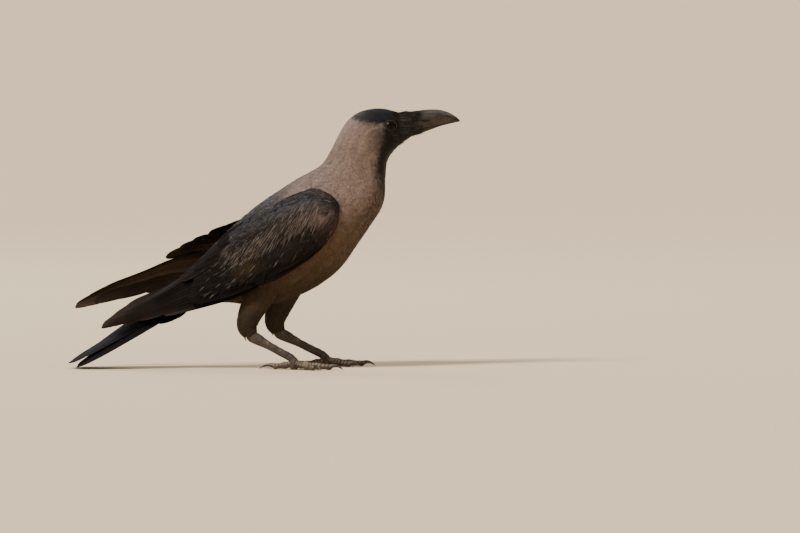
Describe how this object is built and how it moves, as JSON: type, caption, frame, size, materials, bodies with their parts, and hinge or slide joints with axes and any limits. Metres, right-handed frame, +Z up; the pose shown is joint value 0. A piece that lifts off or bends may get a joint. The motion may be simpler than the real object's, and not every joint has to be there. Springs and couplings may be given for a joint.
{
  "type": "crow",
  "caption": "Life-size standing crow with folded wings, sloping tail, stout arched bill and feet flat on the floor.",
  "frame": {"origin": "on the floor, at the middle of the bird's length and width", "axes": "+X forwards, the way the bill points; +Y to the bird's left; +Z up from the floor"},
  "size_m": [0.345, 0.1046, 0.2281],
  "materials": {
    "hood": "glossy black feathers of the forehead, face and throat",
    "collar": "soft grey-brown feathers of the nape, neck, breast and belly",
    "black": "black flight feathers and coverts with a purple-blue gloss",
    "bill": "satin black horn",
    "eye": "wet dark brown",
    "scale": "dull grey-brown scutes, dusty on the toes",
    "claw": "dark horn"
  },
  "bodies": {
    "root": {"head": "hood", "neck": "collar", "torso": "collar", "bill_upper": "bill", "bill_lower": "bill", "eye_right": "eye", "eye_left": "eye", "wing_right": "black", "wing_left": "black", "tail": "black", "shank_right": "collar", "shank_left": "collar", "tarsus_right": "scale", "tarsus_left": "scale", "foot_right": "scale", "foot_left": "scale", "claw_right_1": "claw", "claw_right_2": "claw", "claw_right_3": "claw", "claw_right_4": "claw", "claw_left_1": "claw", "claw_left_2": "claw", "claw_left_3": "claw", "claw_left_4": "claw"}
  },
  "joints": []
}
